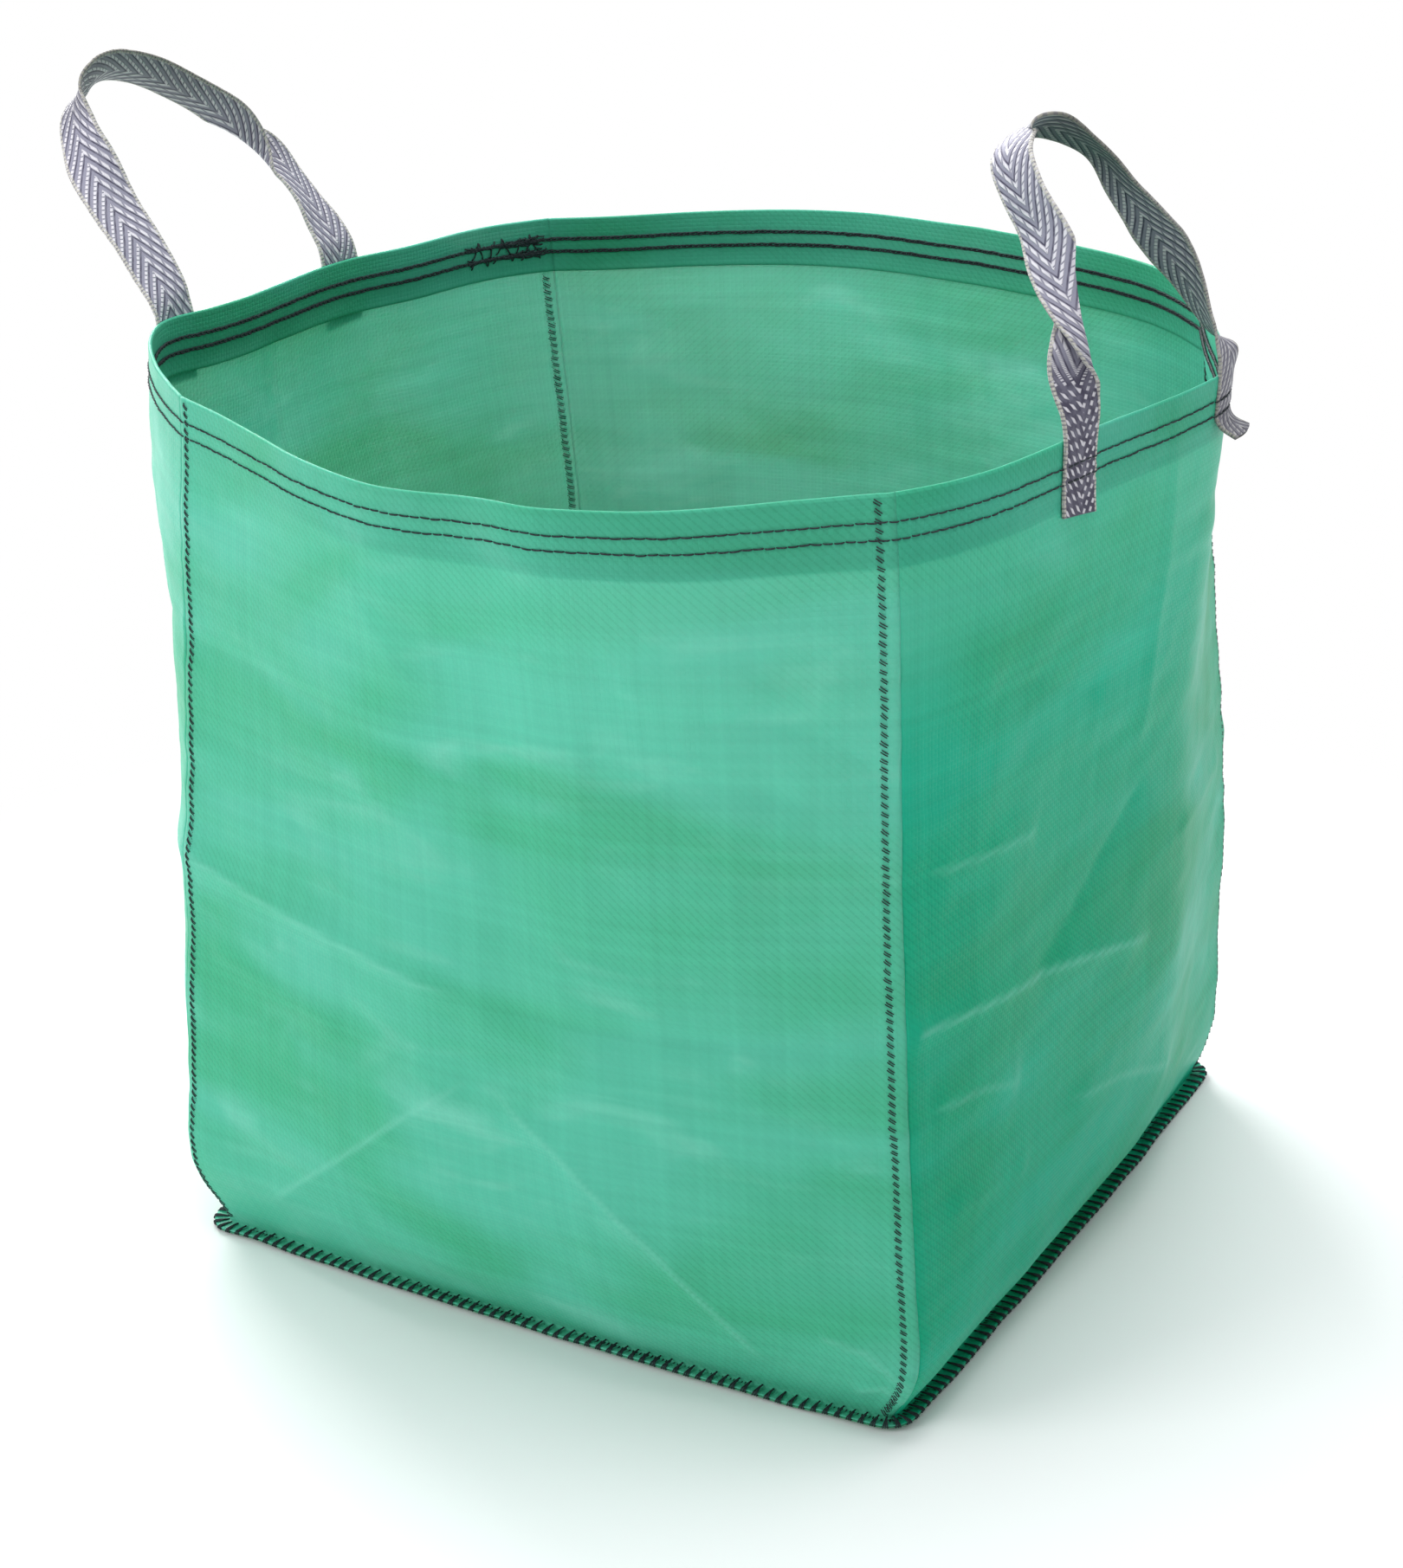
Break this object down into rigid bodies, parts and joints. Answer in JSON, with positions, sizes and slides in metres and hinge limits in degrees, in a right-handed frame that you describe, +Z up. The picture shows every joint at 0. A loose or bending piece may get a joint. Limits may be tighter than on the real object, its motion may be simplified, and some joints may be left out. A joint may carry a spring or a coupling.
{
  "type": "leaf bag",
  "caption": "Open-topped soft fabric leaf bag with a square sewn base, a wider, nearly round stitched rim, and webbing carrying handles that swing at its sides.",
  "frame": {"origin": "centre of the base's underside, on the ground", "axes": "+Z up, +X to the right along the front wall, +Y from the front wall to the back wall"},
  "size_m": [0.6577, 0.5742, 0.6533],
  "materials": {
    "green_fabric": "laminated woven fabric, soft sheen",
    "green_base_fabric": "laminated woven fabric, soft sheen",
    "dark_thread": "matt thread",
    "grey_webbing": "coarse woven webbing"
  },
  "bodies": {
    "bag": {"front_panel": "green_fabric", "right_panel": "green_fabric", "back_panel": "green_fabric", "left_panel": "green_fabric", "base_panel": "green_base_fabric", "front_base_binding": "dark_thread", "right_base_binding": "dark_thread", "back_base_binding": "dark_thread", "left_base_binding": "dark_thread", "front_left_seam_thread": "dark_thread", "front_right_seam_thread": "dark_thread", "back_right_seam_thread": "dark_thread", "back_left_seam_thread": "dark_thread", "hem_upper_row_outside": "dark_thread", "hem_lower_row_outside": "dark_thread", "hem_upper_row_inside": "dark_thread", "hem_lower_row_inside": "dark_thread", "hem_stitch_overlap": "dark_thread", "left_handle_front_tab": "grey_webbing", "left_handle_rear_tab": "grey_webbing", "right_handle_front_tab": "grey_webbing", "right_handle_rear_tab": "grey_webbing"},
    "left_handle": {"left_handle_loop": "grey_webbing"},
    "right_handle": {"right_handle_loop": "grey_webbing"}
  },
  "joints": [
    {"name": "left_handle_swing", "type": "hinge", "parent": "bag", "child": "left_handle", "pos_m": [-0.28897, -0.02883, 0.515], "axis": [0.1159, 0.9933, 0], "range_deg": [-90, 160], "stiffness_Nm_per_rad": 0.1},
    {"name": "right_handle_swing", "type": "hinge", "parent": "bag", "child": "right_handle", "pos_m": [0.25533, 0.00086, 0.515], "axis": [0.1805, 0.9836, 0], "range_deg": [-58, 112], "stiffness_Nm_per_rad": 0.1}
  ]
}
